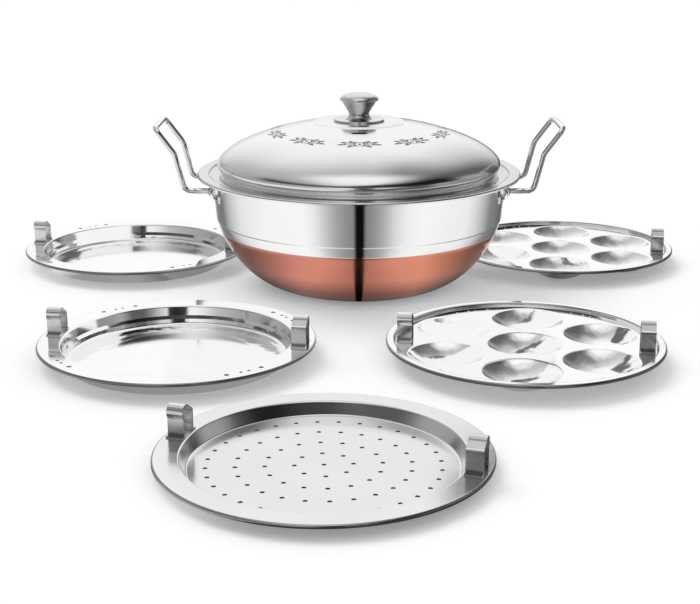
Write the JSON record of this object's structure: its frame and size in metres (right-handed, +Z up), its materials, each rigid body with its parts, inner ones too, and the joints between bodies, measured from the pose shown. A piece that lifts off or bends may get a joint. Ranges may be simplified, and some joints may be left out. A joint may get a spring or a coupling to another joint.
{
  "type": "idli steamer",
  "caption": "Copper-bottomed stovetop steamer pot with wire handles and a domed lid, its dhokla, idli and perforated steaming plates laid out round it",
  "frame": {"origin": "on the table under the middle of the pot, the centre of the pot's flat bottom", "axes": "+Z up, +X from the left handle to the right one, the plates in front of the pot lie towards -Y"},
  "size_m": [0.648, 0.754, 0.1799],
  "materials": {
    "pot_steel": "fine circular brushing on the wall, polished flange and rim",
    "copper_bottom": "satin copper, brushed round the pot",
    "handle_steel": "polished wire",
    "bracket_steel": "polished pressed sheet with dull weld spots",
    "lid_steel": "satin polished dome with etched flower sprigs",
    "knob_steel": "polished",
    "screw_steel": "plain",
    "plate_steel": "mirror polished sheet",
    "clip_steel": "polished strip"
  },
  "bodies": {
    "kadai": {"kadai_bowl": "pot_steel", "copper_base": "copper_bottom", "handle_left": "handle_steel", "handle_right": "handle_steel", "handle_bracket_left": "bracket_steel", "handle_bracket_right": "bracket_steel"},
    "lid": {"lid_shell": "lid_steel", "knob_rose": "knob_steel", "knob_body": "knob_steel", "knob_cap": "knob_steel", "knob_screw": "screw_steel", "screw_washer": "screw_steel"},
    "dhokla_front": {"dhokla_plate_front": "plate_steel", "dhokla_front_clip_left": "clip_steel", "dhokla_front_clip_right": "clip_steel"},
    "dhokla_rear": {"dhokla_plate_rear": "plate_steel", "dhokla_rear_clip_left": "clip_steel", "dhokla_rear_clip_right": "clip_steel"},
    "idli_front": {"idli_plate_front": "plate_steel", "idli_front_clip_left": "clip_steel", "idli_front_clip_right": "clip_steel"},
    "idli_rear": {"idli_plate_rear": "plate_steel", "idli_rear_clip_left": "clip_steel", "idli_rear_clip_right": "clip_steel"},
    "steam": {"steam_plate": "plate_steel", "steam_clip_left": "clip_steel", "steam_clip_right": "clip_steel"}
  },
  "joints": [
    {"name": "lid_lift", "type": "slide", "parent": "kadai", "child": "lid", "axis": [0, 0, 1], "range_m": [0, 0.12]},
    {"name": "dhokla_front_lift", "type": "slide", "parent": "kadai", "child": "dhokla_front", "axis": [0, 0, 1], "range_m": [0, 0.2]},
    {"name": "dhokla_rear_lift", "type": "slide", "parent": "kadai", "child": "dhokla_rear", "axis": [-0.7071, 0, 0.7071], "range_m": [0, 0.25]},
    {"name": "idli_front_lift", "type": "slide", "parent": "kadai", "child": "idli_front", "axis": [0, 0, 1], "range_m": [0, 0.2]},
    {"name": "idli_rear_lift", "type": "slide", "parent": "kadai", "child": "idli_rear", "axis": [0.7071, 0, 0.7071], "range_m": [0, 0.25]},
    {"name": "steam_lift", "type": "slide", "parent": "kadai", "child": "steam", "axis": [0, 0, 1], "range_m": [0, 0.2]}
  ]
}
